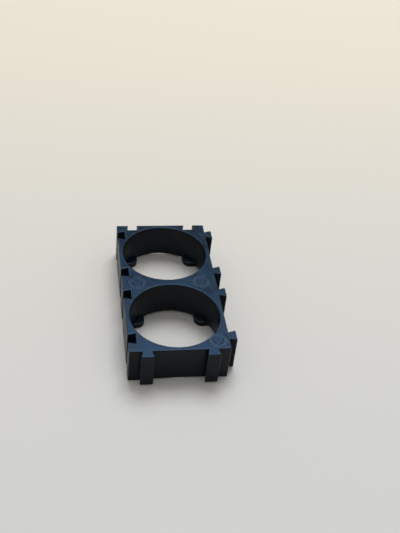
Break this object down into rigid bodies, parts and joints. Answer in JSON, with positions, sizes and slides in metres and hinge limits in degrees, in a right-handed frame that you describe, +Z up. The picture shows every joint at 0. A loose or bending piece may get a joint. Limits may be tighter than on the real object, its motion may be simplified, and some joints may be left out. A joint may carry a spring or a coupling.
{
  "type": "battery cell holder bracket",
  "caption": "Rectangular moulded frame that holds round cells upright side by side in open bores, with dovetail slots and tabs so frames interlock into a pack.",
  "frame": {"origin": "on the surface the frame stands on, under the middle of the row of bores", "axes": "+Z up through the bores, +Y along the row of cells, +X across the row towards the long face that has the tabs"},
  "size_m": [0.0217, 0.0419, 0.0082],
  "materials": {
    "black_abs": "satin, flame-retardant ABS with a fine moulded texture"
  },
  "bodies": {
    "root": {"cell_holder_frame": "black_abs"}
  },
  "joints": []
}
